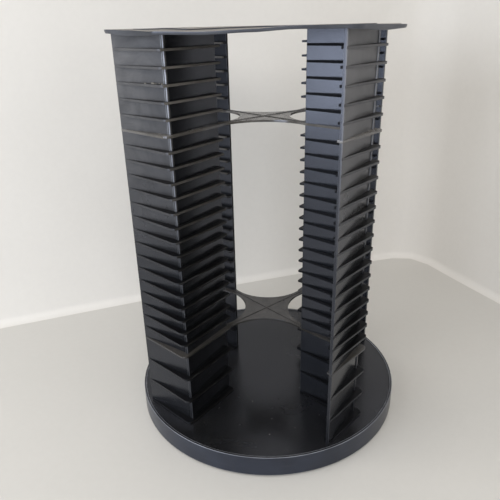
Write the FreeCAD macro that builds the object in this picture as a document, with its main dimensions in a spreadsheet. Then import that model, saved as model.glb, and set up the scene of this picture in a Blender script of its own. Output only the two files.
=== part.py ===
import FreeCAD, Part
import math
import os

import Sketcher
from FreeCAD import Placement, Rotation, Vector

# Rotating media tower for CD cases: a round turntable carries four columns of shelf fins, one
# for each side of a pinwheel plan. Each column is an L of two walls: a blade that points at the
# axis and a wing across it. The fins of one column's blade and the next column's wing hold the
# two ends of a stack of cases. Millimetres, +Z up, origin on the table under the swivel axis.
# The column on the +X side is drawn; the others are quarter turns of it.

UP = Vector(0, 0, 1)
QUARTERS = 4
SIDES = ("right", "back", "left", "front")

document = FreeCAD.newDocument("rotating_media_tower")
sizes = document.addObject("Spreadsheet::Sheet", "Sizes")

DRIVING = (
    ("case_width", 125, "CD case, across the slot"),
    ("case_clearance", 3.8, "play of a case between its two walls"),
    ("slot_pitch", 13.2, "fin to fin, single slots"),
    ("double_pitch", 26.4, "fin to fin, double slots"),
    ("upper_slots", 6, "single slots above the upper brace"),
    ("half_slots", 8, "single slots in each of the two mouldings between the braces"),
    ("lower_slots", 3, "double slots below the lower brace"),
    ("wall_thickness", 3, "blade and wing"),
    ("fin_thickness", 2, "shelf fins and braces"),
    ("blade_offset", 14.9, "ledge face of a blade, from the plane through the axis"),
    ("blade_reach", 54.4, "inner end of a blade, from the axis"),
    ("blade_proud", 1, "outer end of a blade, past the wing"),
    ("wing_length", 58.1, "wing, from the blade's ledge face to the entry edge"),
    ("heel_rib", 8, "fin outside the wing, at the corner"),
    ("back_rib", 8, "fin behind the cases, at the wing"),
    ("back_bevel", 5, "bevel between the back rib and the wing ledge"),
    ("wing_ledge", 2.5, "fin inside the wing"),
    ("ledge_setback", 1.5, "wing ledge, short of the entry edge"),
    ("corner_ledge", 3, "fin on the ledge face, at the corner"),
    ("inner_ledge", 6.3, "fin on the ledge face, at the inner end"),
    ("ledge_nose", 1.2, "bevel on the inner tip of the ledge"),
    ("corner_cut", 4.5, "outer corner of a fin, where its two bevels end"),
    ("corner_middle", 1.3, "outer corner of a fin, where its two bevels meet"),
    ("tongue_length", 8, "joining tongue, along the wall"),
    ("tongue_thickness", 1.8, "joining tongue, across the wall"),
    ("tongue_inset", 14, "joining tongue, from the end of its wall"),
    ("tongue_play", 0.15, "clearance round a tongue"),
    ("tongue_short", 0.2, "tongue, short of the plate it sits in"),
    ("hook_catch", 0.7, "snap hook, past its slot"),
    ("hook_height", 1.5, "snap hook, under the turntable skin"),
    ("hook_play", 0.2, "snap hook to the skin"),
    ("brace_hollow", 46, "radius of a brace's hollow sides"),
    ("ridge_width", 1.6, "diagonal ridge on a brace"),
    ("ridge_height", 0.6, "diagonal ridge on a brace"),
    ("lid_thickness", 2, "top plate skin"),
    ("lid_lip", 4.2, "top plate edge, full height"),
    ("lid_wall", 2, "top plate lip, thickness"),
    ("lid_overhang", 9, "top plate past the columns"),
    ("lid_round", 12, "top plate corners"),
    ("lid_socket", 1.4, "socket for a tongue under the top plate"),
    ("panel_lift", 0.8, "raised cross panel of the top plate"),
    ("panel_reach", 106, "raised panel arm, from the axis"),
    ("panel_start", 4, "raised panel arm, near side from the axis plane"),
    ("panel_end", 62, "raised panel arm, far side from the axis plane"),
    ("panel_hollow", 92, "radius of the raised panel's hollow sides"),
    ("base_radius", 143, "turntable"),
    ("base_skin", 3, "turntable skin"),
    ("skirt_wall", 3, "turntable skirt thickness"),
    ("skirt_height", 20.7, "turntable skirt"),
    ("ground_gap", 1.8, "skirt above the table"),
    ("rim_width", 2.4, "raised rim round the turntable"),
    ("rim_lift", 0.8, "raised rim above the turntable"),
    ("rib_count", 8, "ribs under the turntable"),
    ("rib_width", 2, "rib under the turntable"),
    ("rib_height", 3, "rib under the turntable"),
    ("race_radius", 90, "middle of the slide bearing"),
    ("race_width", 10, "race rings of the turntable and the foot plate"),
    ("race_height", 3, "lower race ring, above the foot plate"),
    ("glide_width", 8, "glide ring between the races"),
    ("glide_height", 2, "glide ring between the races"),
    ("boss_radius", 8, "pivot boss under the turntable"),
    ("pivot_play", 0.08, "pivot boss in its bore"),
    ("boss_play", 0.3, "pivot washer below the foot plate's web"),
    ("foot_radius", 118, "foot plate"),
    ("foot_thickness", 2.5, "foot plate web"),
    ("foot_bottom", 3, "foot plate above the table"),
    ("foot_rim", 3.5, "foot plate rim, above the web"),
    ("foot_wall", 3, "foot plate rim and pivot collar, thickness"),
    ("collar_height", 4, "pivot collar, above the web"),
    ("recess_depth", 1.6, "washer recess under the foot plate"),
    ("recess_play", 1, "washer to the recess wall"),
    ("washer_radius", 12, "pivot washer"),
    ("washer_thickness", 1.2, "pivot washer"),
    ("screw_radius", 2.5, "pivot screw shank"),
    ("screw_length", 9, "pivot screw shank"),
    ("screw_play", 0.05, "pivot screw in its hole"),
    ("screw_tip_gap", 1, "blind end of the screw hole"),
    ("head_radius", 4.8, "pivot screw head"),
    ("head_height", 2, "pivot screw head"),
    ("pad_side", 14, "rubber foot"),
    ("pad_height", 4, "rubber foot"),
    ("pad_offset", 69.3, "rubber feet, from the axis planes"),
    ("pad_play", 0.15, "rubber foot in its pocket"),
)

DERIVED = (
    ("wall_reach", "=case_width + case_clearance + wall_thickness - blade_offset"),
    ("wing_inside", "=wall_reach - wall_thickness"),
    ("blade_front", "=blade_offset + wall_thickness"),
    ("entry_offset", "=blade_offset + wing_length"),
    ("base_top", "=ground_gap + skirt_height"),
    ("skin_under", "=base_top - base_skin"),
    ("lower_level", "=base_top + lower_slots * double_pitch"),
    ("middle_level", "=lower_level + half_slots * slot_pitch"),
    ("upper_level", "=middle_level + half_slots * slot_pitch"),
    ("column_top", "=upper_level + upper_slots * slot_pitch"),
    ("web_top", "=foot_bottom + foot_thickness"),
    ("lower_race", "=web_top + race_height"),
    ("upper_race", "=lower_race + glide_height"),
    ("race_inner", "=race_radius - race_width / 2"),
    ("race_outer", "=race_radius + race_width / 2"),
    ("recess_top", "=foot_bottom + recess_depth"),
    ("boss_bottom", "=recess_top - boss_play"),
    ("washer_bottom", "=boss_bottom - washer_thickness"),
    ("bore_radius", "=boss_radius + pivot_play"),
    ("screw_hole", "=screw_radius + screw_play"),
)

for row, (name, size, note) in enumerate(DRIVING, 1):
    sizes.set(f"A{row}", name)
    sizes.set(f"B{row}", str(size))
    sizes.set(f"C{row}", note)
    sizes.setAlias(f"B{row}", name)
for row, (name, formula) in enumerate(DERIVED, len(DRIVING) + 1):
    sizes.set(f"A{row}", name)
    sizes.set(f"B{row}", formula)
    sizes.setAlias(f"B{row}", name)
document.recompute()


def number(formula):
    """Present value of a formula over the sheet's sizes."""
    return float(sizes.evalExpression(formula))


def linked(formula):
    """The same formula as an object outside the sheet reads it."""
    names = [name for name, _ in DERIVED] + [name for name, _, _ in DRIVING]
    words, word = [], ""
    for letter in formula + " ":
        if letter.isalnum() or letter == "_":
            word += letter
            continue
        words.append(f"Sizes.{word}" if word in names else word)
        words.append(letter)
        word = ""
    return "".join(words).strip()


def bind(item, path, formula):
    item.setExpression(path, linked(formula))


def new_body(label):
    body = document.addObject("PartDesign::Body", label)
    body.Label = label
    return body


def origin_part(body, role):
    return next(part for part in body.Origin.OriginFeatures if part.Role == role)


def new_sketch(body, label, level=None, plane="XY_Plane"):
    """Sketch on one of the body's own planes, lifted to a level."""
    sketch = body.newObject("Sketcher::SketchObject", label)
    sketch.AttachmentSupport = (origin_part(body, plane), [""])
    sketch.MapMode = "FlatFace"
    if level:
        bind(sketch, "AttachmentOffset.Base.z", level)
    return sketch


def constrain(sketch, kind, formula, *where):
    index = sketch.addConstraint(Sketcher.Constraint(kind, *where, number(formula)))
    bind(sketch, f"Constraints[{index}]", formula)


def place_point(sketch, edge, end, across, along):
    constrain(sketch, "DistanceX", across, -1, 1, edge, end)
    constrain(sketch, "DistanceY", along, -1, 1, edge, end)


def arc_between(start, finish, radius, hollow):
    """Arc from start to finish, bulging out of a counter-clockwise outline, or into it."""
    chord = finish - start
    half = chord.Length / 2
    side = Vector(-chord.y, chord.x, 0).normalize()
    rise = math.sqrt(max(radius * radius - half * half, 0))
    centre = (start + finish) * 0.5 + side * (-rise if hollow else rise)
    first, last = (finish, start) if hollow else (start, finish)
    turn = [math.atan2(end.y - centre.y, end.x - centre.x) for end in (first, last)]
    return Part.ArcOfCircle(Part.Circle(centre, UP, radius), turn[0], turn[1])


def outline(sketch, corners):
    """Closed outline, counter-clockwise. A corner is its two coordinates, and, where the side
    that leads to it is an arc, the arc's radius and whether it is hollow."""
    spots = [Vector(number(corner[0]), number(corner[1]), 0) for corner in corners]
    ends = []
    for here, corner in enumerate(corners):
        start, finish = spots[here - 1], spots[here]
        if len(corner) > 2:
            _, _, radius, hollow = corner
            edge = sketch.addGeometry(arc_between(start, finish, number(radius), hollow))
            constrain(sketch, "Radius", radius, edge)
            ends.append((edge, 2, 1) if hollow else (edge, 1, 2))
        else:
            edge = sketch.addGeometry(Part.LineSegment(start, finish))
            ends.append((edge, 1, 2))
    for here, corner in enumerate(corners):
        edge, _, finish = ends[here]
        following, start, _ = ends[(here + 1) % len(corners)]
        sketch.addConstraint(Sketcher.Constraint("Coincident", edge, finish, following, start))
        place_point(sketch, edge, finish, corner[0], corner[1])


def rectangle(sketch, left, right, low, high):
    outline(sketch, ((left, low), (right, low), (right, high), (left, high)))


def circle(sketch, radius, across="0", along="0"):
    centre = Vector(number(across), number(along), 0)
    edge = sketch.addGeometry(Part.Circle(centre, UP, number(radius)))
    constrain(sketch, "Radius", radius, edge)
    place_point(sketch, edge, 3, across, along)


def pad(body, sketch, label, height):
    feature = body.newObject("PartDesign::Pad", label)
    feature.Profile = sketch
    bind(feature, "Length", height)
    return feature


def pocket_up(body, sketch, label, depth):
    feature = body.newObject("PartDesign::Pocket", label)
    feature.Profile = sketch
    feature.Reversed = True
    bind(feature, "Length", depth)
    return feature


def revolve(body, sketch, label):
    feature = body.newObject("PartDesign::Revolution", label)
    feature.Profile = sketch
    feature.ReferenceAxis = (sketch, ["V_Axis"])
    feature.Angle = 360
    return feature


def around(body, feature, label, count, turn=360):
    pattern = body.newObject("PartDesign::PolarPattern", label)
    pattern.Originals = [feature]
    pattern.Axis = (origin_part(body, "Z_Axis"), [""])
    pattern.Angle = turn
    bind(pattern, "Occurrences", count)
    body.Tip = pattern
    return pattern


def stack(body, feature, label, count, step):
    pattern = body.newObject("PartDesign::LinearPattern", label)
    pattern.Originals = [feature]
    pattern.Direction = (origin_part(body, "Z_Axis"), [""])
    pattern.Mode = "Spacing"
    bind(pattern, "Offset", step)
    bind(pattern, "Occurrences", count)
    body.Tip = pattern
    return pattern


# Plan of the +X column: the two walls, and the fin that wraps them.

WALLS = (
    ("blade_reach", "-blade_front"),
    ("wing_inside", "-blade_front"),
    ("wing_inside", "-entry_offset"),
    ("wall_reach", "-entry_offset"),
    ("wall_reach", "-blade_front"),
    ("wall_reach + blade_proud", "-blade_front"),
    ("wall_reach + blade_proud", "-blade_offset"),
    ("blade_reach", "-blade_offset"),
)

FIN = (
    ("blade_reach", "-blade_front"),
    ("wing_inside - wing_ledge - back_bevel", "-blade_front - back_rib"),
    ("wing_inside - wing_ledge", "-blade_front - back_rib - back_bevel"),
    ("wing_inside - wing_ledge", "-entry_offset + ledge_setback"),
    ("wing_inside", "-entry_offset + ledge_setback"),
    ("wing_inside", "-entry_offset"),
    ("wall_reach", "-entry_offset"),
    ("wall_reach + heel_rib", "-blade_offset + corner_ledge - corner_cut"),
    ("wall_reach + heel_rib - corner_middle", "-blade_offset + corner_ledge - corner_middle"),
    ("wall_reach + heel_rib - corner_cut", "-blade_offset + corner_ledge"),
    ("blade_reach + ledge_nose", "-blade_offset + inner_ledge"),
    ("blade_reach", "-blade_offset + inner_ledge - ledge_nose"),
)

# Joining tongues sit in the middle of the wall's thickness: centre across, centre along, and
# whether the tongue runs along the wing. The lower pair reaches down, the upper pair up.

WING_LINE = "wall_reach - wall_thickness / 2"
BLADE_LINE = "-blade_offset - wall_thickness / 2"
LOWER_TONGUES = (
    (WING_LINE, "-entry_offset + tongue_inset", True),
    ("blade_reach + tongue_inset", BLADE_LINE, False),
)
UPPER_TONGUES = (
    (WING_LINE, "-blade_front - tongue_inset", True),
    ("wing_inside - tongue_inset", BLADE_LINE, False),
)


def tongue_plans(sketch, tongues, play):
    """Rectangles of tongues, or with play of the slots that take them."""
    long_half = f"tongue_length / 2 + {play}"
    short_half = f"tongue_thickness / 2 + {play}"
    for across, along, on_wing in tongues:
        half_x, half_y = (short_half, long_half) if on_wing else (long_half, short_half)
        left, right = f"{across} - ({half_x})", f"{across} + ({half_x})"
        rectangle(sketch, left, right, f"{along} - ({half_y})", f"{along} + ({half_y})")


def build_column(zone, side, quarter):
    """One moulding of a column: walls, fins, and tongues or sockets at its ends."""
    body = new_body(f"column_{zone}_{side}")
    floor, top, first_fin, fins, step, tongue_down, tongue_up = ZONES[zone]
    plan = new_sketch(body, f"{zone}_{side}_wall_plan", floor)
    outline(plan, WALLS)
    pad(body, plan, f"{zone}_{side}_walls", f"{top} - ({floor})")
    plan = new_sketch(body, f"{zone}_{side}_fin_plan", first_fin)
    outline(plan, FIN)
    fin = pad(body, plan, f"{zone}_{side}_fin", "fin_thickness")
    stack(body, fin, f"{zone}_{side}_fins", fins, step)
    plan = new_sketch(body, f"{zone}_{side}_upper_tongues", top)
    tongue_plans(plan, UPPER_TONGUES, "0")
    pad(body, plan, f"{zone}_{side}_tongues_up", tongue_up)
    if tongue_down:
        plan = new_sketch(body, f"{zone}_{side}_lower_tongues", f"{floor} - ({tongue_down})")
        tongue_plans(plan, LOWER_TONGUES, "0")
        body.Tip = pad(body, plan, f"{zone}_{side}_tongues_down", tongue_down)
    else:
        plan = new_sketch(body, f"{zone}_{side}_socket_plan", floor)
        tongue_plans(plan, UPPER_TONGUES, "tongue_play")
        body.Tip = pocket_up(body, plan, f"{zone}_{side}_sockets", "fin_thickness")
    if zone == "lower":
        plan = new_sketch(body, f"{side}_hook_plan", "skin_under - hook_play - hook_height")
        hook_plans(plan)
        body.Tip = pad(body, plan, f"{side}_hooks", "hook_height")
    body.Placement = Placement(Vector(), Rotation(UP, 360 / QUARTERS * quarter))
    return body


def hook_plans(sketch):
    """Catches on the outer faces of the tongues that reach through the turntable."""
    half, reach = "tongue_length / 2", "tongue_thickness / 2 + tongue_play + hook_catch"
    (wing_x, wing_y, _), (blade_x, blade_y, _) = LOWER_TONGUES
    rectangle(
        sketch,
        f"{wing_x} - tongue_thickness / 2",
        f"{wing_x} + {reach}",
        f"{wing_y} - {half}",
        f"{wing_y} + {half}",
    )
    rectangle(
        sketch,
        f"{blade_x} - {half}",
        f"{blade_x} + {half}",
        f"{blade_y} - tongue_thickness / 2",
        f"{blade_y} + {reach}",
    )


IN_PLATE = "fin_thickness - tongue_short"
IN_LID = "lid_socket - tongue_short"
THROUGH_SKIN = "base_skin + hook_play + hook_height"
ABOVE_LOWER = "lower_level + fin_thickness"
ABOVE_UPPER = "upper_level + fin_thickness"

# zone: floor, top, first fin, fin count, step, tongue down (or None: sockets), tongue up
ZONES = {
    "lower": (
        "base_top",
        "lower_level",
        "base_top",
        "lower_slots",
        "double_pitch",
        THROUGH_SKIN,
        IN_PLATE,
    ),
    "low_middle": (
        ABOVE_LOWER,
        "middle_level",
        "lower_level + slot_pitch",
        "half_slots - 1",
        "slot_pitch",
        IN_PLATE,
        IN_PLATE,
    ),
    "high_middle": (
        "middle_level",
        "upper_level",
        "middle_level",
        "half_slots",
        "slot_pitch",
        None,
        IN_PLATE,
    ),
    "upper": (
        ABOVE_UPPER,
        "column_top",
        "upper_level + slot_pitch",
        "upper_slots - 1",
        "slot_pitch",
        IN_PLATE,
        IN_LID,
    ),
}


def quarter_turned(corner):
    """A corner moved a quarter turn counter-clockwise."""
    return (f"-({corner[1]})", corner[0], *corner[2:])


def cross_outline(sketch, reach, near, far, radius):
    """Four arms with hollow sides between them; an arm ends at a reach, between two sides."""
    corners = [(reach, f"-({far})"), (reach, f"-({near})")]
    everything = []
    for _ in range(QUARTERS):
        everything += corners
        corners = [quarter_turned(corner) for corner in corners]
        corners[0] = (*corners[0][:2], radius, True)
    everything[0] = (*everything[0][:2], radius, True)
    outline(sketch, everything)


def build_brace(label, level):
    """Thin cross plate between two storeys of columns, with their fin plan at each arm."""
    body = new_body(label)
    near = "(blade_offset - inner_ledge + ledge_nose)"
    plan = new_sketch(body, f"{label}_cross_plan", level)
    cross_outline(plan, "blade_reach", near, "blade_front", "brace_hollow")
    pad(body, plan, f"{label}_cross", "fin_thickness")
    plan = new_sketch(body, f"{label}_arm_plan", level)
    outline(plan, FIN)
    arm = pad(body, plan, f"{label}_arm", "fin_thickness")
    around(body, arm, f"{label}_arms", f"{QUARTERS}")
    plan = new_sketch(body, f"{label}_ridge_plan", f"{level} + fin_thickness")
    middle = f"(blade_front + {near}) / 2"
    outline(
        plan,
        (
            ("-blade_reach", f"{middle} - ridge_width / 2"),
            ("blade_reach", f"-{middle} - ridge_width / 2"),
            ("blade_reach", f"-{middle} + ridge_width / 2"),
            ("-blade_reach", f"{middle} + ridge_width / 2"),
        ),
    )
    ridge = pad(body, plan, f"{label}_ridge", "ridge_height")
    around(body, ridge, f"{label}_ridges", "2", 360 / QUARTERS)
    plan = new_sketch(body, f"{label}_slot_plan", level)
    tongue_plans(plan, LOWER_TONGUES + UPPER_TONGUES, "tongue_play")
    slot = pocket_up(body, plan, f"{label}_slot", "fin_thickness")
    around(body, slot, f"{label}_slots", f"{QUARTERS}")
    return body


def tangent_hull(sketch, centres, radius):
    """Rounded polygon: arcs about the centres, joined by lines that touch them."""
    spots = [Vector(number(across), number(along), 0) for across, along in centres]
    size = number(radius)
    sides = []
    for here, spot in enumerate(spots):
        way = (spots[(here + 1) % len(spots)] - spot).normalize()
        sides.append(Vector(way.y, -way.x, 0) * size)
    arcs, lines = [], []
    for here, spot in enumerate(spots):
        turn = [math.atan2(side.y, side.x) for side in (sides[here - 1], sides[here])]
        ring = Part.Circle(spot, UP, size)
        arcs.append(sketch.addGeometry(Part.ArcOfCircle(ring, turn[0], turn[1])))
    for here, spot in enumerate(spots):
        following = spots[(here + 1) % len(spots)]
        line = Part.LineSegment(spot + sides[here], following + sides[here])
        lines.append(sketch.addGeometry(line))
    for here, (across, along) in enumerate(centres):
        constrain(sketch, "Radius", radius, arcs[here])
        place_point(sketch, arcs[here], 3, across, along)
        following = arcs[(here + 1) % len(arcs)]
        leaving = Sketcher.Constraint("Tangent", arcs[here], 2, lines[here], 1)
        arriving = Sketcher.Constraint("Tangent", lines[here], 2, following, 1)
        sketch.addConstraint([leaving, arriving])


def lid_centres():
    """Arc centres of the top plate: one over each wing's entry, one over each corner."""
    inward = "lid_overhang - lid_round"
    entry = (f"wall_reach + {inward}", f"-entry_offset - ({inward})")
    corner = (f"wall_reach + heel_rib + {inward}", f"-blade_offset + corner_ledge + {inward}")
    centres = []
    for _ in range(QUARTERS):
        centres += [entry, corner]
        entry, corner = quarter_turned(entry), quarter_turned(corner)
    return centres


def build_lid():
    """Top plate: skin with a lip that hangs round the column tops, and a raised cross panel."""
    body = new_body("top_plate")
    plan = new_sketch(body, "lid_plan", "column_top + lid_thickness - lid_lip")
    tangent_hull(plan, lid_centres(), "lid_round")
    pad(body, plan, "lid_block", "lid_lip")
    plan = new_sketch(body, "lid_hollow_plan", "column_top + lid_thickness - lid_lip")
    tangent_hull(plan, lid_centres(), "lid_round - lid_wall")
    pocket_up(body, plan, "lid_hollow", "lid_lip - lid_thickness")
    plan = new_sketch(body, "panel_plan", "column_top + lid_thickness")
    cross_outline(plan, "panel_reach", "panel_start", "panel_end", "panel_hollow")
    pad(body, plan, "panel", "panel_lift")
    plan = new_sketch(body, "socket_plan", "column_top")
    tongue_plans(plan, UPPER_TONGUES, "tongue_play")
    socket = pocket_up(body, plan, "socket", "lid_socket")
    around(body, socket, "sockets", f"{QUARTERS}")
    return body


def build_turntable():
    """Round base that carries the tower: skin, rim, skirt, race ring and pivot boss."""
    body = new_body("turntable")
    profile = new_sketch(body, "turntable_profile", plane="XZ_Plane")
    hole_top = "boss_bottom - washer_thickness + screw_length + screw_tip_gap"
    outline(
        profile,
        (
            ("0", "base_top"),
            ("0", hole_top),
            ("screw_hole", hole_top),
            ("screw_hole", "boss_bottom"),
            ("boss_radius", "boss_bottom"),
            ("boss_radius", "skin_under"),
            ("race_inner", "skin_under"),
            ("race_inner", "upper_race"),
            ("race_outer", "upper_race"),
            ("race_outer", "skin_under"),
            ("base_radius - skirt_wall", "skin_under"),
            ("base_radius - skirt_wall", "ground_gap"),
            ("base_radius", "ground_gap"),
            ("base_radius", "base_top + rim_lift"),
            ("base_radius - rim_width", "base_top + rim_lift"),
            ("base_radius - rim_width - rim_lift", "base_top"),
        ),
    )
    revolve(body, profile, "turntable_disc")
    plan = new_sketch(body, "rib_plan", "skin_under - rib_height")
    rectangle(
        plan,
        "race_outer - rib_width / 2",
        "base_radius - skirt_wall + rib_width / 2",
        "-rib_width / 2",
        "rib_width / 2",
    )
    rib = pad(body, plan, "rib", "rib_height")
    around(body, rib, "ribs", "rib_count")
    plan = new_sketch(body, "turntable_slot_plan", "skin_under")
    tongue_plans(plan, LOWER_TONGUES, "tongue_play")
    slot = pocket_up(body, plan, "turntable_slot", "base_skin")
    around(body, slot, "turntable_slots", f"{QUARTERS}")
    return body


def build_foot_plate():
    """Fixed plate under the turntable: rim, lower race, pivot collar and foot pockets."""
    body = new_body("foot_plate")
    profile = new_sketch(body, "foot_profile", plane="XZ_Plane")
    recess = "washer_radius + recess_play"
    collar = f"{recess} + foot_wall"
    outline(
        profile,
        (
            ("bore_radius", "recess_top"),
            (recess, "recess_top"),
            (recess, "foot_bottom"),
            ("foot_radius", "foot_bottom"),
            ("foot_radius", "web_top + foot_rim"),
            ("foot_radius - foot_wall", "web_top + foot_rim"),
            ("foot_radius - foot_wall", "web_top"),
            ("race_outer", "web_top"),
            ("race_outer", "lower_race"),
            ("race_inner", "lower_race"),
            ("race_inner", "web_top"),
            (collar, "web_top"),
            (collar, "web_top + collar_height"),
            ("bore_radius", "web_top + collar_height"),
        ),
    )
    revolve(body, profile, "foot_disc")
    plan = new_sketch(body, "foot_pocket_plan", "foot_bottom")
    pad_plan(plan, "pad_play")
    hole = pocket_up(body, plan, "foot_pocket", "pad_height - foot_bottom")
    around(body, hole, "foot_pockets", f"{QUARTERS}")
    return body


def build_glide():
    """Slippery ring that lies on the foot plate's race and carries the turntable's."""
    body = new_body("glide_ring")
    plan = new_sketch(body, "glide_plan", "lower_race")
    circle(plan, "race_radius + glide_width / 2")
    circle(plan, "race_radius - glide_width / 2")
    body.Tip = pad(body, plan, "glide_ring_pad", "glide_height")
    return body


def build_washer():
    body = new_body("pivot_washer")
    plan = new_sketch(body, "washer_plan", "washer_bottom")
    circle(plan, "washer_radius")
    circle(plan, "screw_hole")
    body.Tip = pad(body, plan, "washer_ring", "washer_thickness")
    return body


def build_screw():
    """Cheese-headed screw that holds the washer under the pivot boss."""
    body = new_body("pivot_screw")
    profile = new_sketch(body, "screw_profile", plane="XZ_Plane")
    outline(
        profile,
        (
            ("0", "washer_bottom - head_height"),
            ("head_radius", "washer_bottom - head_height"),
            ("head_radius", "washer_bottom"),
            ("screw_radius", "washer_bottom"),
            ("screw_radius", "washer_bottom + screw_length"),
            ("0", "washer_bottom + screw_length"),
        ),
    )
    body.Tip = revolve(body, profile, "screw_body")
    return body


def pad_plan(sketch, play):
    """Square of a rubber foot, or with play of its pocket."""
    low, high = f"pad_offset - pad_side / 2 - {play}", f"pad_offset + pad_side / 2 + {play}"
    rectangle(sketch, low, high, low, high)


def build_pad(index):
    """Square rubber foot in its pocket under the foot plate."""
    body = new_body(f"rubber_foot_{index + 1}")
    plan = new_sketch(body, f"pad_plan_{index + 1}", "0")
    pad_plan(plan, "0")
    body.Tip = pad(body, plan, f"pad_block_{index + 1}", "pad_height")
    body.Placement = Placement(Vector(), Rotation(UP, 360 / QUARTERS * index))
    return body


nodes = [build_turntable(), build_foot_plate(), build_glide(), build_washer(), build_screw()]
nodes += [build_pad(index) for index in range(QUARTERS)]
nodes += [build_brace("brace_lower", "lower_level"), build_brace("brace_upper", "upper_level")]
nodes += [build_lid()]
for zone in ZONES:
    nodes += [build_column(zone, side, quarter) for quarter, side in enumerate(SIDES)]
document.recompute()

for item in document.Objects:
    faults = {"Invalid", "Error"} & set(item.State)
    if faults:
        raise ValueError(f"{item.Label} is {sorted(faults)}")
os.makedirs("parts", exist_ok=True)
for node in nodes:
    shape = node.Shape
    if shape.isNull() or not shape.isValid() or not shape.Solids:
        raise ValueError(f"{node.Label} has no sound shape")
    shape.exportStep(f"parts/{node.Label}.step")
    box = shape.BoundBox
    print(
        f"{node.Label}: {len(shape.Solids)} solid, {len(shape.Faces)} faces,"
        f" {shape.Volume / 1000:.2f} cm3,"
        f" {box.XLength:.1f} x {box.YLength:.1f} x {box.ZMin:.1f} to {box.ZMax:.1f}"
    )
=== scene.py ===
import math
import random

import bmesh
import bpy
from mathutils import Matrix, Vector, noise


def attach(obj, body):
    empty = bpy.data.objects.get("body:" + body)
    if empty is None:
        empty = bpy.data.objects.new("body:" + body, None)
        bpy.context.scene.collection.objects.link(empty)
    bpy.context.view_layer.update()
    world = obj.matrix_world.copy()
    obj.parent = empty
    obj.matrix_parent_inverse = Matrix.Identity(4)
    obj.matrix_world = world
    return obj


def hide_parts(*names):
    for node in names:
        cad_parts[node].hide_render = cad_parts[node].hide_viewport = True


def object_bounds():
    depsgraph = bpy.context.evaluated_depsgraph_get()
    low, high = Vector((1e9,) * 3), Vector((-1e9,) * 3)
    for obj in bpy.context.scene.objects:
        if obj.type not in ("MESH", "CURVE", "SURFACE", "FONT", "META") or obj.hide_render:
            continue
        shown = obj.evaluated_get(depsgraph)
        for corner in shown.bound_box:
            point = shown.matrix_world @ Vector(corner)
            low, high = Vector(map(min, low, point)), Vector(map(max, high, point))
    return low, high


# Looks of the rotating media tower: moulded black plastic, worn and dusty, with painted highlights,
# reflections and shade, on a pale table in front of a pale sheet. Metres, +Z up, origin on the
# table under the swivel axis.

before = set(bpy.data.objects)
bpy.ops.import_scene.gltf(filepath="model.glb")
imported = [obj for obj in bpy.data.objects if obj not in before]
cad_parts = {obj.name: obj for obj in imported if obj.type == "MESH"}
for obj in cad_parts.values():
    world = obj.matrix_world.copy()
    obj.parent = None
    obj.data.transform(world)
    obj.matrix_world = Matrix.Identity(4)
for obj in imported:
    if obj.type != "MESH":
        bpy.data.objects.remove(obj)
CAD_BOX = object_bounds()

SIDES = ("right", "back", "left", "front")
MM = 0.001
# Vertices nearer than this are one.
CLOSE = 2e-6
# Edges that turn by more degrees than this are shaded sharp.
SHARP = 40

# Sizes of the part that the looks need again, in millimetres.
SLOT_PITCH = 13.2
BASE_TOP = 22.5
UPPER_LEVEL = 312.9
BLADE_OFFSET = 14.9
WALL_REACH = 116.9
LID_TOP = 394.1


# ---------------------------------------------------------------- node helpers


class Nodes:
    """A material's node tree, with short ways to add and join nodes."""

    def __init__(self, name):
        self.material = bpy.data.materials.new(name)
        self.material.use_nodes = True
        self.tree = self.material.node_tree
        self.tree.nodes.clear()
        self.out = self.tree.nodes.new("ShaderNodeOutputMaterial")
        self.coords = self.tree.nodes.new("ShaderNodeTexCoord")

    def add(self, kind, inputs=None, **settings):
        node = self.tree.nodes.new("ShaderNode" + kind)
        for key, value in settings.items():
            setattr(node, key, value)
        for key, value in (inputs or {}).items():
            self.connect(node.inputs[key], value)
        return node

    def connect(self, socket, value):
        if isinstance(value, bpy.types.NodeSocket):
            self.tree.links.new(value, socket)
        else:
            socket.default_value = value

    def stretched(self, scale):
        mapping = {"Vector": self.coords.outputs["Object"], "Scale": scale, "Location": (0, 0, 0)}
        return self.add("Mapping", mapping).outputs["Vector"]

    def noise(self, scale, detail=4.0, rough=0.55, at=None, distortion=0.0):
        inputs = {"Scale": scale, "Detail": detail, "Roughness": rough, "Distortion": distortion}
        inputs["Vector"] = at or self.coords.outputs["Object"]
        return self.add("TexNoise", inputs).outputs["Fac"]

    def ramp(self, value, low, high, out_low=0.0, out_high=1.0):
        inputs = {"Value": value, "From Min": low, "From Max": high}
        inputs.update({"To Min": out_low, "To Max": out_high})
        return self.add("MapRange", inputs, clamp=True).outputs["Result"]

    def math(self, operation, first, second=0.0):
        return self.add("Math", {0: first, 1: second}, operation=operation).outputs[0]

    def mix(self, share, first, second):
        """Two colours mixed; the numbers are the Mix node's colour sockets."""
        node = self.add("Mix", data_type="RGBA")
        for index, value in ((0, share), (6, first), (7, second)):
            self.connect(node.inputs[index], value)
        return node.outputs[2]

    def bump(self, height, distance, strength=1.0, normal=None):
        inputs = {"Height": height, "Distance": distance, "Strength": strength}
        if normal:
            inputs["Normal"] = normal
        return self.add("Bump", inputs).outputs["Normal"]

    def finish(self, **inputs):
        shader = self.add("BsdfPrincipled", {k.replace("_", " "): v for k, v in inputs.items()})
        self.tree.links.new(shader.outputs[0], self.out.inputs["Surface"])
        return self.material


def grey(level, tint=(1.0, 1.0, 1.0)):
    return (level * tint[0], level * tint[1], level * tint[2], 1.0)


COOL = (0.92, 0.98, 1.12)
WARM = (1.06, 1.0, 0.92)
DUST = (0.26, 0.235, 0.20, 1.0)
# Colour of the greasy haze, which also paints a sheen on the upper outer faces.
GREASE_AND_SHEEN = grey(0.30, (1.02, 1.0, 1.0))
RUBBED = grey(0.20, (1.0, 1.02, 1.08))
GLOSS_TINT = (0.90, 0.96, 1.18, 1.0)

# Heights in metres between which the colour, darkened towards the foot as painted shade, and the
# dust come to their full strength, and between which the haze with its painted sheen does.
SHADE_HEIGHTS = (0.20, 0.37)
HAZE_AND_SHEEN_HEIGHTS = (0.19, 0.38)
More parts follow.
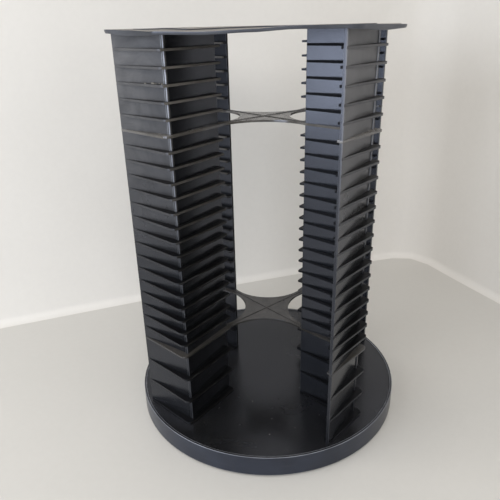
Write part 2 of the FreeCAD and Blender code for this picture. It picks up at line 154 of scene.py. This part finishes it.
# Distance of the columns' outer faces from the planes through the axis, in metres.
OUTER_FACES = (0.1150, 0.1164)


def plastic(
    name, level, roughness, dust=0.0, haze_and_sheen=0.0, scuffs=0.0, tone=COOL, shine=0.5, low=1.0,
):
    """Black moulded plastic: cloudy colour and gloss, dust on what faces up, and a greasy haze on
    the outer faces that thickens with height and also paints a sheen there. Its colour is darkened
    towards the foot as painted shade, down to the share low."""
    n = Nodes(name)
    place = n.add("SeparateXYZ", {0: n.coords.outputs["Object"]}).outputs
    # painted shade: the colour darkens towards the foot, down to the share low
    height = n.ramp(place["Z"], *SHADE_HEIGHTS, low, 1.0)
    cloud_and_foot_shade = n.math("MULTIPLY", n.ramp(n.noise(34, 5, 0.6), 0.35, 0.68, 0.55, 1.0), height)
    colour = n.mix(cloud_and_foot_shade, grey(0.0), grey(level * 1.3, tone))
    # dust in patches, with a few larger specks
    up = n.add("SeparateXYZ", {0: n.coords.outputs["Normal"]}).outputs["Z"]
    patches = n.ramp(n.noise(60, 8, 0.72), 0.40, 0.72, 0.3, 1.0)
    film = n.math("MULTIPLY", n.math("MULTIPLY", n.ramp(up, 0.3, 0.95), patches), dust)
    film = n.math("MULTIPLY", film, height)
    spots = n.math("MULTIPLY", n.ramp(n.noise(950, 2, 0.5), 0.72, 0.77), 0.10 + dust)
    colour = n.mix(n.math("MAXIMUM", film, spots), colour, DUST)
    # greasy haze, and a painted sheen that lightens the outer faces towards the top
    side = n.math("ABSOLUTE", place["X"])
    side = n.math("MAXIMUM", side, n.math("ABSOLUTE", place["Y"]))
    outer = n.math("MULTIPLY", n.ramp(side, *OUTER_FACES), n.ramp(place["Z"], *HAZE_AND_SHEEN_HEIGHTS))
    smears = n.ramp(n.noise(26, 7, 0.66, None, 0.8), 0.34, 0.70, 0.55, 1.15)
    veil_and_sheen = n.math("MULTIPLY", n.math("MULTIPLY", outer, smears), haze_and_sheen)
    colour = n.mix(veil_and_sheen, colour, GREASE_AND_SHEEN)
    # pale rubbed streaks along the moulding
    streak = n.noise(1.0, 6, 0.65, n.stretched((26, 26, 340)))
    rubbed = n.math("MULTIPLY", n.ramp(streak, 0.56, 0.80), scuffs)
    colour = n.mix(rubbed, colour, RUBBED)
    # gloss, duller under dust and haze
    gloss = n.ramp(n.noise(22, 6, 0.62, None, 0.6), 0.3, 0.7, roughness - 0.03, roughness + 0.04)
    gloss = n.math("ADD", gloss, n.math("MULTIPLY", film, 0.35))
    gloss = n.math("MINIMUM", n.math("ADD", gloss, n.math("MULTIPLY", veil_and_sheen, 0.5)), 0.95)
    fine = n.bump(n.noise(2600, 2, 0.5), 0.00004, 0.3)
    shape = n.bump(n.noise(48, 2, 0.5), 0.00008, 0.5, fine)
    return n.finish(
        Base_Color=colour, Roughness=gloss, Normal=shape, Specular_IOR_Level=shine,
        Specular_Tint=GLOSS_TINT,
    )


def steel(name):
    n = Nodes(name)
    turned = n.noise(1.0, 4, 0.6, n.stretched((900, 900, 60)))
    colour = n.mix(n.ramp(turned, 0.3, 0.7), grey(0.42), grey(0.62))
    rough = n.ramp(turned, 0.3, 0.7, 0.25, 0.42)
    return n.finish(
        Base_Color=colour, Metallic=1.0, Roughness=rough, Normal=n.bump(turned, 0.00004, 0.4)
    )


def matt(name, low, high, roughness, scale=300.0, tint=(1.0, 1.0, 1.0), grain=0.0001):
    n = Nodes(name)
    spread = n.noise(scale, 6, 0.6)
    colour = n.mix(n.ramp(spread, 0.35, 0.65), grey(low, tint), grey(high, tint))
    rough = n.ramp(n.noise(scale / 5, 3), 0.3, 0.7, roughness - 0.06, roughness + 0.06)
    return n.finish(Base_Color=colour, Roughness=rough, Normal=n.bump(spread, grain, 0.4))


# A low below 1 darkens a material's colour towards the foot: painted shade.
WALL = plastic("column_plastic_satin", 0.008, 0.24, dust=0.02, haze_and_sheen=0.35, scuffs=0.03)
FIN_FACE = plastic("fin_plastic_satin", 0.007, 0.34, haze_and_sheen=0.30, scuffs=0.1, shine=0.35)
# Pale rounded upright edges: wear and painted highlight.
WALL_EDGE = plastic("column_plastic_worn_highlight", 0.10, 0.32, haze_and_sheen=0.3, scuffs=0.5, shine=0.4, low=0.25)
# Pale upper edges of the outer fins: wear and painted highlight.
FIN_LINE = plastic("fin_plastic_worn_highlight", 0.055, 0.34, scuffs=0.6, shine=0.3, low=0.7)
# Dark, dull fin edges: painted shade under and beside the fins.
FIN_EDGE = plastic("fin_plastic_dark_shade", 0.005, 0.50, shine=0.10)
LEDGE_EDGE = plastic("fin_plastic_dusty", 0.13, 0.50, scuffs=0.5, tone=WARM, shine=0.2, low=0.06)
FIN_TOP = plastic("fin_plastic_top", 0.007, 0.45, dust=0.10, shine=0.2, low=0.1)
# Pale rounded outer end of the blade: wear and painted highlight.
CORNER_HIGHLIGHT = plastic("column_plastic_corner_highlight", 0.42, 0.36, scuffs=0.5, shine=0.3, low=0.08)
BRACE = plastic("brace_plastic_satin", 0.14, 0.15, dust=0.7, scuffs=0.10, tone=WARM, low=0.2)
BRACE_EDGE = plastic("brace_plastic_edge", 0.11, 0.20, dust=0.7, tone=WARM, low=0.2)
LID = plastic("top_plate_plastic", 0.032, 0.34, dust=0.80, scuffs=0.12, tone=WARM)
# Lighter, cool sides and lip of the top plate: painted reflection, with some wear.
LID_EDGE = plastic("top_plate_edge_reflection", 0.045, 0.30, scuffs=0.3)
# Dark rounded edges of the top plate: painted shadow line above the lip.
LID_LINE = plastic("top_plate_shadow_line", 0.006, 0.40, shine=0.2)
BASE = plastic("base_plastic_gloss", 0.007, 0.24, dust=0.02, scuffs=0.02)
# Blue, lighter rim skirt: painted reflection of daylight.
BASE_RIM = plastic("base_plastic_rim_reflection", 0.018, 0.30, scuffs=0.10, tone=(0.75, 0.95, 1.5))
# Pale rounded rim edges: wear, dust and painted highlight.
BASE_EDGE = plastic("base_plastic_edge_highlight", 0.16, 0.26, dust=0.10, scuffs=0.5)
HIDDEN = plastic("base_plastic_under", 0.012, 0.42)
GLIDE = matt("glide_plastic_natural", 0.60, 0.72, 0.42, tint=(1.0, 0.98, 0.92))
RUBBER = matt("rubber_black", 0.018, 0.032, 0.82)
STEEL = steel("steel_bright")
GRIT = matt("grit_pale", 0.16, 0.34, 0.8, 1500.0, (1.0, 0.95, 0.86))


# ---------------------------------------------------------------- meshes


def cleaned(node):
    """The node's mesh with its flat faces whole again."""
    bm = bmesh.new()
    bm.from_mesh(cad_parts[node].data)
    bmesh.ops.remove_doubles(bm, verts=bm.verts, dist=CLOSE)
    bmesh.ops.dissolve_limit(
        bm, angle_limit=math.radians(0.3), use_dissolve_boundaries=False,
        verts=bm.verts, edges=bm.edges, delimit=set(),
    )
    return bm


def soften(bm, width, segments=2, angle=30, material=1, edges=None):
    """Rounds the sharp outer edges; the rounded faces take a material of their own."""
    limit = math.radians(angle)
    sharp = [
        e for e in (bm.edges if edges is None else edges)
        if e.is_manifold and e.is_convex and e.calc_face_angle(0) > limit
    ]
    bmesh.ops.bevel(
        bm, geom=sharp, offset=width, offset_type="OFFSET", segments=segments, profile=0.5,
        affect="EDGES", clamp_overlap=True, material=material,
    )


def make_piece(bm, name, materials, body, nodes):
    """A visible piece on a body, in place of its CAD nodes, with the given materials."""
    bm.normal_update()
    for face in bm.faces:
        face.smooth = True
    for edge in bm.edges:
        edge.smooth = edge.is_manifold and edge.calc_face_angle(0) < math.radians(SHARP)
    mesh = bpy.data.meshes.new(name)
    bm.to_mesh(mesh)
    bm.free()
    if "custom_normal" in mesh.attributes:
        mesh.attributes.remove(mesh.attributes["custom_normal"])
    for material in materials:
        mesh.materials.append(material)
    piece = bpy.data.objects.new(name, mesh)
    bpy.context.scene.collection.objects.link(piece)
    normals = piece.modifiers.new("normals", "WEIGHTED_NORMAL")
    normals.keep_sharp = True
    normals.mode = "FACE_AREA_WITH_ANGLE"
    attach(piece, body)
    if nodes:
        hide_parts(*nodes)


# How far out a fin starts to warp and warps fully, and by how much, in metres.
WARP_START, WARP_FULL, WARP_HEIGHT = 0.0012, 0.006, 0.0004


def warp_fins(bm, quarter):
    """The free edges of fins stand a little high or low, as thin moulded plastic does."""
    for v in bm.verts:
        out = max(v.co.x - WALL_REACH * MM, v.co.y + BLADE_OFFSET * MM, 0.0)
        if out > WARP_START:
            wave = noise.noise(Vector((v.co.x * 30, v.co.y * 30, v.co.z * 75 + quarter * 17)))
            v.co.z += wave * WARP_HEIGHT * min(out / WARP_FULL, 1.0)


# A face this low, in metres, is the edge of a fin, and a column's upright edge is longer than this.
FIN_TALLEST, UPRIGHT_SHORTEST = 0.0026, 0.005


def fin_edge(face):
    heights = [v.co.z for v in face.verts]
    return abs(face.normal.z) < 0.3 and max(heights) - min(heights) < FIN_TALLEST


def fin_side(spot):
    """Where a fin's edge lies on its column: ledge side, inside the L, or outside."""
    if spot.y > (0.3 - BLADE_OFFSET) * MM:
        return "ledge"
    return "inner" if spot.x < (WALL_REACH - 3.2) * MM else "outer"


COLUMN_MATERIALS = (WALL, WALL_EDGE, FIN_LINE, FIN_EDGE, LEDGE_EDGE, FIN_TOP, CORNER_HIGHLIGHT, FIN_FACE)


def on(material):
    """The material's index on a column."""
    return COLUMN_MATERIALS.index(material)


def mark_fins(bm):
    """The fins' top faces are dusty; the narrow faces round them differ from side to side, and
    inside the L they are dark as painted shade.
    """
    looks = {"ledge": LEDGE_EDGE, "inner": FIN_EDGE, "outer": FIN_FACE}
    for face in bm.faces:
        if fin_edge(face):
            face.material_index = on(looks[fin_side(face.calc_center_median())])
        elif face.normal.z > 0.7:
            face.material_index = on(FIN_TOP)


def fin_lines(bm, way, sides):
    """The fins' upper (way 1) or lower (way -1) edges on some sides of the column."""
    found = []
    for edge in bm.edges:
        faces = edge.link_faces
        if len(faces) != 2 or not any(map(fin_edge, faces)):
            continue
        if max(face.normal.z * way for face in faces) > 0.7:
            if fin_side((edge.verts[0].co + edge.verts[1].co) / 2) in sides:
                found.append(edge)
    return found


def tall_edges(bm, corner):
    """The upright edges of the walls: those of the blade's outer end, or the others."""
    found = []
    for edge in bm.edges:
        first, second = (v.co for v in edge.verts)
        upright = abs(first.z - second.z) > UPRIGHT_SHORTEST
        if upright and (first.x > (WALL_REACH + 0.5) * MM) == corner:
            found.append(edge)
    return found


def build_columns():
    """The sixteen mouldings, each worked on as if it stood on the right side."""
    for node in sorted(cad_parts):
        if not node.startswith("column_"):
            continue
        zone, side = node[len("column_"):].rsplit("_", 1)
        quarter = SIDES.index(side)
        turn = Matrix.Rotation(math.pi / 2 * quarter, 4, "Z")
        bm = cleaned(node)
        bm.transform(turn.inverted())
        warp_fins(bm, quarter)
        mark_fins(bm)
        # The blade's outer end and the other upright edges are rounded in pale materials: wear and
        # painted highlight.
        soften(bm, 0.0008, material=on(CORNER_HIGHLIGHT), edges=tall_edges(bm, True))
        soften(bm, 0.0004, material=on(WALL_EDGE), edges=tall_edges(bm, False))
        # Lower fin edges, and the upper ones inside the L, are dark as painted shade; the outer
        # fins' upper edges are pale as wear and painted highlight; ledge edges are dusty.
        for width, material, way, sides in (
            (0.0005, FIN_EDGE, -1, ("ledge", "inner", "outer")),
            (0.0004, LEDGE_EDGE, 1, ("ledge",)),
            (0.0004, FIN_LINE, 1, ("outer",)),
            (0.0003, FIN_EDGE, 1, ("inner",)),
        ):
            soften(bm, width, material=on(material), edges=fin_lines(bm, way, sides))
        bm.transform(turn)
        name = f"{side}_column_{zone}"
        make_piece(bm, name, COLUMN_MATERIALS, "tower", (node,))


def build_braces():
    for level in ("lower", "upper"):
        bm = cleaned(f"brace_{level}")
        soften(bm, 0.00025)
        name, node = f"{level}_brace", f"brace_{level}"
        make_piece(bm, name, (BRACE, BRACE_EDGE), "tower", (node,))


# The thin top plate has warped and sits a little off the middle of the columns, in metres.
LID_SHIFT = (0.0026, 0.0018, 0.0)
# Arc centres of its outline on the +X side, and the arcs' radius, in millimetres.
LID_ENTRY, LID_HEEL, LID_ROUND = (113.9, -70.0), (121.9, -14.9), 12.0
# Grid that is cut into the flat plate so that it can bend: cell in metres, and cells each way.
LID_CELL, LID_CELLS = 0.01, 13
# Cut below the top, and how far in the rim reaches and is drawn in below the cut, in metres.
LID_CUT, LID_RIM, LID_TAPER = 0.0012, 0.0021, 0.0006
# The lip starts this far below the top, in millimetres, and rises by this much between corners,
# in metres.
LIP_START, LIP_RISE = 2.6, 0.0020
# The droop reaches this far in at the corners, and further between them, in metres.
DROOP_REACH, DROOP_MORE = 0.010, 0.035
# How low the rim hangs, in millimetres, by the angle round the axis.
DROOP = (
    (-34, -0.7), (-6, 0.0), (25, 0.6), (52, -0.2), (90, -0.2), (115, 0.4), (145, -0.6), (180, -0.8),
    (205, -0.2), (222, -0.8), (240, -0.8), (250, 0.0), (263, 1.1), (280, 1.9), (298, 0.8),
    (312, -0.7), (326, -0.7),
)


def lid_lines():
    """The sides of the polygon through the arc centres: a point and the outward normal."""
    spots = []
    for quarter in range(4):
        turn = Matrix.Rotation(math.pi / 2 * quarter, 2)
        spots += [turn @ Vector(LID_ENTRY), turn @ Vector(LID_HEEL)]
    lines = []
    for here, spot in enumerate(spots):
        way = (spots[(here + 1) % len(spots)] - spot).normalized()
        lines.append((spot * MM, Vector((way.y, -way.x))))
    return lines


def droop(angle):
    """How low the rim hangs at an angle in degrees, in metres."""
    for (low, first), (high, second) in zip(DROOP, DROOP[1:]):
        if low <= angle <= high:
            share = (angle - low) / (high - low)
            share = share * share * (3 - 2 * share)
            return (first + (second - first) * share) * MM
    return 0.0


def bend_lid(v, lines):
    """Moves a vertex of the top plate as the plate has warped."""
    flat = v.co.to_2d()
    inward = LID_ROUND * MM - max(normal.dot(flat - point) for point, normal in lines)
    angle = math.degrees(math.atan2(v.co.y, v.co.x))
    angle += 360 if angle < DROOP[0][0] else 0
    span = abs(((angle + 20) % 90) - 45) / 45
    between = max(0.0, min(1.0, 2.6 - 2.6 * span))
    reach = DROOP_REACH + DROOP_MORE * between
    fade = max(0.0, min(1.0, (reach - inward) / reach + 0.15))
    if v.co.z < (LID_TOP - LIP_START) * MM:
        v.co.z += LIP_RISE * between
    if inward < LID_RIM and v.co.z < LID_TOP * MM - LID_CUT - 0.0001:
        v.co.xy -= v.co.xy.normalized() * LID_TAPER
    v.co.z = min(v.co.z - droop(angle) * fade * fade * (3 - 2 * fade), CAD_BOX[1][2])


def build_lid():
    bm = cleaned("top_plate")
    lines = lid_lines()
    steps = [step * LID_CELL for step in range(-LID_CELLS, LID_CELLS + 1)]
    planes = [(Vector((step, 0, 0)), Vector((1, 0, 0))) for step in steps]
    planes += [(Vector((0, step, 0)), Vector((0, 1, 0))) for step in steps]
    planes.append((Vector((0, 0, LID_TOP * MM - LID_CUT)), Vector((0, 0, 1))))
    for point, normal in planes:
        geometry = bm.verts[:] + bm.edges[:] + bm.faces[:]
        bmesh.ops.bisect_plane(bm, geom=geometry, plane_co=point, plane_no=normal)
    for v in bm.verts:
        bend_lid(v, lines)
    for face in bm.faces:
        # The sides and lip are lighter: painted reflection.
        face.material_index = 1 if abs(face.normal.z) < 0.5 else 0
    # The rounded edges are dark: painted shadow line.
    soften(bm, 0.0004, 2, 40, 2)
    bmesh.ops.translate(bm, verts=bm.verts, vec=LID_SHIFT)
    materials = (LID, LID_EDGE, LID_LINE)
    make_piece(bm, "top_plate_shell", materials, "tower", ("top_plate",))


# Upright faces of the turntable farther out than this, in metres, are its skirt.
SKIRT_INSIDE = 0.138


def build_base():
    bm = cleaned("turntable")
    # The skirt takes the blue rim material, a painted reflection.
    for face in bm.faces:
        outside = face.calc_center_median().to_2d().length > SKIRT_INSIDE
        face.material_index = 2 if outside and abs(face.normal.z) < 0.5 else 0
    # The rounded edges are pale: wear and painted highlight.
    soften(bm, 0.0005, 3, 40)
    materials = (BASE, BASE_EDGE, BASE_RIM)
    make_piece(bm, "turntable_shell", materials, "tower", ("turntable",))


def build_underside():
    parts = (
        ("foot_plate", "foot_plate_shell", HIDDEN, "foot", "base_plastic"),
        ("glide_ring", "glide_ring_shell", GLIDE, "foot", "glide_plastic"),
        ("pivot_washer", "pivot_washer_shell", STEEL, "tower", "steel"),
        ("pivot_screw", "pivot_screw_shell", STEEL, "tower", "steel"),
    )
    for node, name, material, body, slot in parts:
        bm = cleaned(node)
        soften(bm, 0.0002, 2, 40)
        make_piece(bm, name, (material, material), body, (node,))
    for index in range(1, 5):
        bm = cleaned(f"rubber_foot_{index}")
        soften(bm, 0.0006, 3)
        name = f"rubber_pad_{index}"
        make_piece(bm, name, (RUBBER, RUBBER), "foot", (f"rubber_foot_{index}",))


def add_crumb(bm, centre, size, flat, draw):
    """An irregular closed grain."""
    made = bmesh.ops.create_icosphere(bm, subdivisions=2, radius=1.0)
    turn = Matrix.Rotation(draw.uniform(0, 6.28), 3, "Z")
    seed = Vector((draw.uniform(0, 50), draw.uniform(0, 50), 0))
    for v in made["verts"]:
        v.co *= 1 + 0.35 * noise.noise(v.co * 1.6 + seed)
        v.co = turn @ Vector((v.co.x * size * 1.3, v.co.y * size, v.co.z * size * flat)) + centre


# Flecks on the turntable, and the fin with grit: its number above the upper brace and the height
# of the grit over the fin's underside. All in millimetres.
FLECKS = ((52, -72), (78, -70), (62, -92), (-40, -108), (-4, -88), (20, -60), (90, -40))
GRIT_FIN, GRIT_HEIGHT = 3, 2.3


def build_crumbs():
    """Grit on a fin of the front column, and flecks on the turntable."""
    draw = random.Random(11)
    bm = bmesh.new()
    level = UPPER_LEVEL + GRIT_FIN * SLOT_PITCH + GRIT_HEIGHT
    for _ in range(9):
        spot = Vector((draw.gauss(-29, 4), -WALL_REACH - draw.uniform(1.5, 5), level)) * MM
        add_crumb(bm, spot, draw.uniform(0.0004, 0.0010), 0.7, draw)
    for x, y in FLECKS:
        spot = Vector((x, y, BASE_TOP + 0.1)) * MM
        add_crumb(bm, spot, draw.uniform(0.0002, 0.0004), 0.3, draw)
    make_piece(bm, "dust_grains", (GRIT,), "tower", ())


build_base()
build_columns()
build_braces()
build_lid()
build_underside()
build_crumbs()


# ---------------------------------------------------------------- table, sheet and light

TABLE = grey(0.56, (1.0, 0.98, 0.935))
SHEET = grey(0.69, (1.01, 0.985, 0.945))
CARD = grey(0.02)

# The table is flat out to its second ring, bends up by a quarter circle and ends at a height.
TABLE_RINGS, TABLE_FLAT, TABLE_BEND, TABLE_HIGH, TABLE_SIDES = (1.2, 2.4), 2.4, 0.8, 2.6, 64
# The sheet's line on the table, its heights, and how far its foot stands in at each height.
SHEET_LINE = (
    (-0.62, -0.42), (-0.401, -0.097), (-0.289, 0.069), (-0.042, 0.402), (-0.012, 0.437),
    (0.022, 0.455), (0.063, 0.445), (0.124, 0.406), (0.194, 0.363), (0.42, 0.215), (0.70, 0.03),
)
SHEET_RISE = (
    (0.0, 0.012), (0.001, 0.007), (0.004, 0.0025), (0.009, 0.0), (0.3, 0.0), (0.6, 0.0), (1.1, 0.0),
)
SHEET_LIFT = 0.0003
# A dark card beside the window, out of the camera's sight.
CARD_CORNERS = (
    (-0.90, -1.44, 0.02), (-1.60, -0.80, 0.02), (-1.60, -0.80, 1.0), (-0.90, -1.44, 1.0),
)


def stage_material(name, colour, one_sided=False):
    n = Nodes(name)
    mottle = n.ramp(n.noise(3.0, 4), 0.3, 0.7, -0.5, 0.5)
    fine = n.ramp(n.noise(140.0, 5), 0.3, 0.7, -0.5, 0.5)
    both = n.math("ADD", n.math("MULTIPLY", mottle, 0.05), n.math("MULTIPLY", fine, 0.02))
    shade = n.math("ADD", both, 1.0)
    tone = n.add("VectorMath", {0: colour[:3], "Scale": shade}, operation="SCALE").outputs[0]
    made = n.finish(Base_Color=tone, Roughness=0.6, Normal=n.bump(n.noise(900.0), 0.0001, 0.2))
    if one_sided:
        shader = n.out.inputs["Surface"].links[0].from_node
        clear = n.add("BsdfTransparent")
        behind = n.add("NewGeometry").outputs["Backfacing"]
        choice = n.add("MixShader", {0: behind, 1: shader.outputs[0], 2: clear.outputs[0]})
        n.tree.links.new(choice.outputs[0], n.out.inputs["Surface"])
    return made


def stage_object(name, bm, material):
    mesh = bpy.data.meshes.new(name)
    bm.to_mesh(mesh)
    bm.free()
    mesh.materials.append(material)
    mesh.shade_smooth()
    made = bpy.data.objects.new(name, mesh)
    bpy.context.scene.collection.objects.link(made)
    return made


def build_table():
    """A wide round table top that curves up far away."""
    bm = bmesh.new()
    rings = [(radius, 0.0) for radius in TABLE_RINGS]
    for bend in (0.3, 0.6, 0.9, 1.2, 1.57):
        rings.append((
            TABLE_FLAT + TABLE_BEND * math.sin(bend), TABLE_BEND - TABLE_BEND * math.cos(bend)
        ))
    rings.append((TABLE_FLAT + TABLE_BEND, TABLE_HIGH))
    turns = [2 * math.pi * k / TABLE_SIDES for k in range(TABLE_SIDES)]
    loops = [
        [bm.verts.new((radius * math.cos(t), radius * math.sin(t), height)) for t in turns]
        for radius, height in rings
    ]
    middle = bm.verts.new((0, 0, 0))
    for k in range(TABLE_SIDES):
        bm.faces.new((middle, loops[0][k], loops[0][(k + 1) % TABLE_SIDES]))
    for low, high in zip(loops, loops[1:]):
        for k in range(TABLE_SIDES):
            after = (k + 1) % TABLE_SIDES
            bm.faces.new((low[k], high[k], high[after], low[after]))
    bmesh.ops.recalc_face_normals(bm, faces=bm.faces)
    bm.faces.ensure_lookup_table()
    if bm.faces[0].normal.z < 0:
        bmesh.ops.reverse_faces(bm, faces=bm.faces)
    stage_object("table", bm, stage_material("table_paint", TABLE))


def build_sheet():
    """A paper sheet that stands behind the tower, seen from its front only."""
    bm = bmesh.new()
    rows = []
    for height, inset in SHEET_RISE:
        row = []
        for here, (x, y) in enumerate(SHEET_LINE):
            before = Vector(SHEET_LINE[max(here - 1, 0)])
            after = Vector(SHEET_LINE[min(here + 1, len(SHEET_LINE) - 1)])
            way = (after - before).normalized()
            spot = (x + way.y * inset, y - way.x * inset, height + SHEET_LIFT)
            row.append(bm.verts.new(spot))
        rows.append(row)
    for low, high in zip(rows, rows[1:]):
        for here in range(len(SHEET_LINE) - 1):
            bm.faces.new((low[here], low[here + 1], high[here + 1], high[here]))
    bm.normal_update()
    bm.faces.ensure_lookup_table()
    if bm.faces[0].normal.dot(Vector((0, 0, 0.2)) - bm.faces[0].calc_center_median()) < 0:
        bmesh.ops.reverse_faces(bm, faces=bm.faces)
    stage_object("paper_sheet", bm, stage_material("sheet_paint", SHEET, True))


def build_card():
    bm = bmesh.new()
    bm.faces.new([bm.verts.new(corner) for corner in CARD_CORNERS])
    card = stage_object("dark_card", bm, stage_material("card_paint", CARD))
    card.visible_camera = False


def lamp(name, place, aim, size, power, colour):
    light = bpy.data.lights.new(name, "AREA")
    light.shape = "RECTANGLE"
    light.size, light.size_y = size
    light.energy = power
    light.color = colour
    made = bpy.data.objects.new(name, light)
    made.location = place
    made.rotation_euler = (Vector(aim) - Vector(place)).to_track_quat("-Z", "Y").to_euler()
    made.visible_camera = False
    bpy.context.scene.collection.objects.link(made)


DAYLIGHT = (0.92, 0.98, 1.06)
LAMPLIGHT = (1.0, 0.97, 0.93)


def build_light():
    lamp("window", (-0.34, -1.55, 0.62), (0, 0, 0.45), (1.05, 0.60), 11, DAYLIGHT)
    lamp("window_low", (-0.34, -1.55, 0.18), (0, 0, 0.3), (1.05, 0.26), 6.2, DAYLIGHT)
    lamp("ceiling", (0.1, -0.1, 2.0), (0, 0, 0), (1.8, 1.8), 9, LAMPLIGHT)
    lamp("fill", (-0.9, -0.9, 1.4), (0.35, 0.25, 0.2), (0.8, 0.8), 7, LAMPLIGHT)
    lamp("doorway", (0.95, -1.25, 1.3), (0.25, 0, 0.2), (0.9, 0.9), 13, (1.0, 0.97, 0.94))
    world = bpy.data.worlds.new("room")
    world.use_nodes = True
    back = world.node_tree.nodes["Background"]
    back.inputs["Color"].default_value = (1.0, 0.985, 0.965, 1.0)
    back.inputs["Strength"].default_value = 0.58
    bpy.context.scene.world = world
    bpy.context.scene.view_settings.view_transform = "Standard"


# The photograph's camera as fitted: place in metres, way it looks, pitch down and roll in degrees.
CAMERA_PLACE = (0.28307, -0.43488, 0.3960)
CAMERA_ANGLES = (124.95, 23.16, -1.32)
CAMERA_LENS = 37.91


def build_camera():
    azimuth, pitch, roll = (math.radians(angle) for angle in CAMERA_ANGLES)
    forward = Vector((
        math.cos(azimuth) * math.cos(pitch), math.sin(azimuth) * math.cos(pitch), -math.sin(pitch)
    ))
    right = Vector((math.sin(azimuth), -math.cos(azimuth), 0))
    down = forward.cross(right)
    right, down = (
        right * math.cos(roll) - down * math.sin(roll),
        right * math.sin(roll) + down * math.cos(roll),
    )
    camera = bpy.data.objects.new("camera", bpy.data.cameras.new("camera"))
    camera.data.lens = CAMERA_LENS
    camera.data.sensor_width = 36.0
    camera.data.clip_start = 0.02
    turned = Matrix((right, -down, -forward)).transposed().to_4x4()
    camera.matrix_world = Matrix.Translation(CAMERA_PLACE) @ turned
    bpy.context.scene.collection.objects.link(camera)
    bpy.context.scene.camera = camera


build_table()
build_sheet()
build_card()
build_light()
build_camera()
